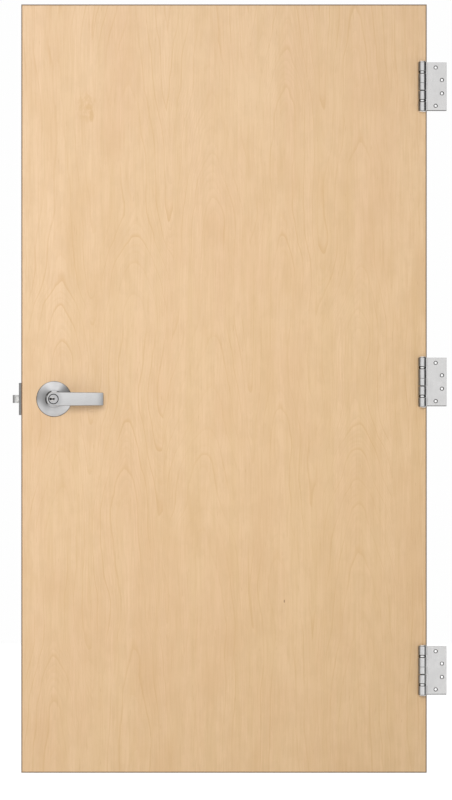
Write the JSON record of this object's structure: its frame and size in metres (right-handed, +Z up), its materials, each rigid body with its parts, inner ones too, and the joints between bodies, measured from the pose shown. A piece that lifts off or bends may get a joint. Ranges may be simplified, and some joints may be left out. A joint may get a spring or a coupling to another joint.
{
  "type": "flush wooden door leaf with hinges and lever lock",
  "caption": "Flush wooden door leaf with ball-bearing hinges and a keyed lever latch set; it swings, and the lever turns and draws the latch.",
  "frame": {"origin": "the middle of the back face of the bottom hinge's frame leaf, which lies on the door frame's face", "axes": "+Z up, +X from the latch edge towards the hinges, +Y from the side that the door opens towards to its other side"},
  "size_m": [1.135, 0.1691, 2.0098],
  "materials": {
    "face_veneer": "clear satin lacquer on plain-sliced pale veneer",
    "edge_wood": "clear satin lacquer on solid hardwood",
    "inner_wood": "raw board, unfinished",
    "hinge_steel": "satin",
    "bearing_steel": "smooth",
    "lock_chrome": "satin chrome",
    "lock_steel": "plain zinc-plated",
    "bolt_steel": "smooth",
    "key_plug_metal": "satin"
  },
  "bodies": {
    "frame_side": {"bottom_hinge_frame_leaf": "hinge_steel", "bottom_hinge_pin": "hinge_steel", "bottom_hinge_bearings": "bearing_steel", "middle_hinge_frame_leaf": "hinge_steel", "middle_hinge_pin": "hinge_steel", "middle_hinge_bearings": "bearing_steel", "top_hinge_frame_leaf": "hinge_steel", "top_hinge_pin": "hinge_steel", "top_hinge_bearings": "bearing_steel"},
    "door": {"core": "inner_wood", "latch_stile": "inner_wood", "hinge_stile": "inner_wood", "top_rail": "inner_wood", "bottom_rail": "inner_wood", "latch_edge_band": "edge_wood", "hinge_edge_band": "edge_wood", "front_crossband": "inner_wood", "back_crossband": "inner_wood", "front_veneer": "face_veneer", "back_veneer": "face_veneer", "outside_rose": "lock_chrome", "inside_rose": "lock_chrome", "lock_chassis": "lock_steel", "latch_case": "lock_steel", "face_plate": "lock_chrome", "bottom_hinge_edge_leaf": "hinge_steel", "middle_hinge_edge_leaf": "hinge_steel", "top_hinge_edge_leaf": "hinge_steel"},
    "outside_lever": {"outside_lever": "lock_chrome", "key_cylinder": "lock_chrome"},
    "inside_lever": {"inside_lever": "lock_chrome"},
    "key_plug": {"key_plug": "key_plug_metal"},
    "latch_bolt": {"latch_bolt": "bolt_steel"},
    "deadlatch_plunger": {"deadlatch_plunger": "bolt_steel"}
  },
  "joints": [
    {"name": "door_swing", "type": "hinge", "parent": "frame_side", "child": "door", "pos_m": [-0.03835, -0.0112, 0], "axis": [0, 0, 1], "range_deg": [0, 175]},
    {"name": "outside_lever_turn", "type": "hinge", "parent": "door", "child": "outside_lever", "pos_m": [-1.00085, 0.0004, 0.7094], "axis": [0, 1, 0], "range_deg": [0, 50], "stiffness_Nm_per_rad": 1.5, "springref_deg": -34.38},
    {"name": "inside_lever_turn", "type": "hinge", "parent": "door", "child": "inside_lever", "pos_m": [-1.00085, 0.0449, 0.7094], "axis": [0, 1, 0], "range_deg": [0, 50], "stiffness_Nm_per_rad": 1.5, "springref_deg": -34.38},
    {"name": "key_plug_turn", "type": "hinge", "parent": "outside_lever", "child": "key_plug", "pos_m": [-1.00425, 0.0004, 0.7094], "axis": [0, 1, 0], "range_deg": [-90, 90]},
    {"name": "latch_bolt_slide", "type": "slide", "parent": "door", "child": "latch_bolt", "axis": [1, 0, 0], "range_m": [0, 0.0165]},
    {"name": "deadlatch_slide", "type": "slide", "parent": "door", "child": "deadlatch_plunger", "axis": [1, 0, 0], "range_m": [0, 0.0089]}
  ],
  "couplings": [
    {"joint": "latch_bolt_slide", "follows": "outside_lever_turn", "m_per_rad": 0.0189},
    {"joint": "deadlatch_slide", "follows": "outside_lever_turn", "m_per_rad": 0.0101}
  ]
}
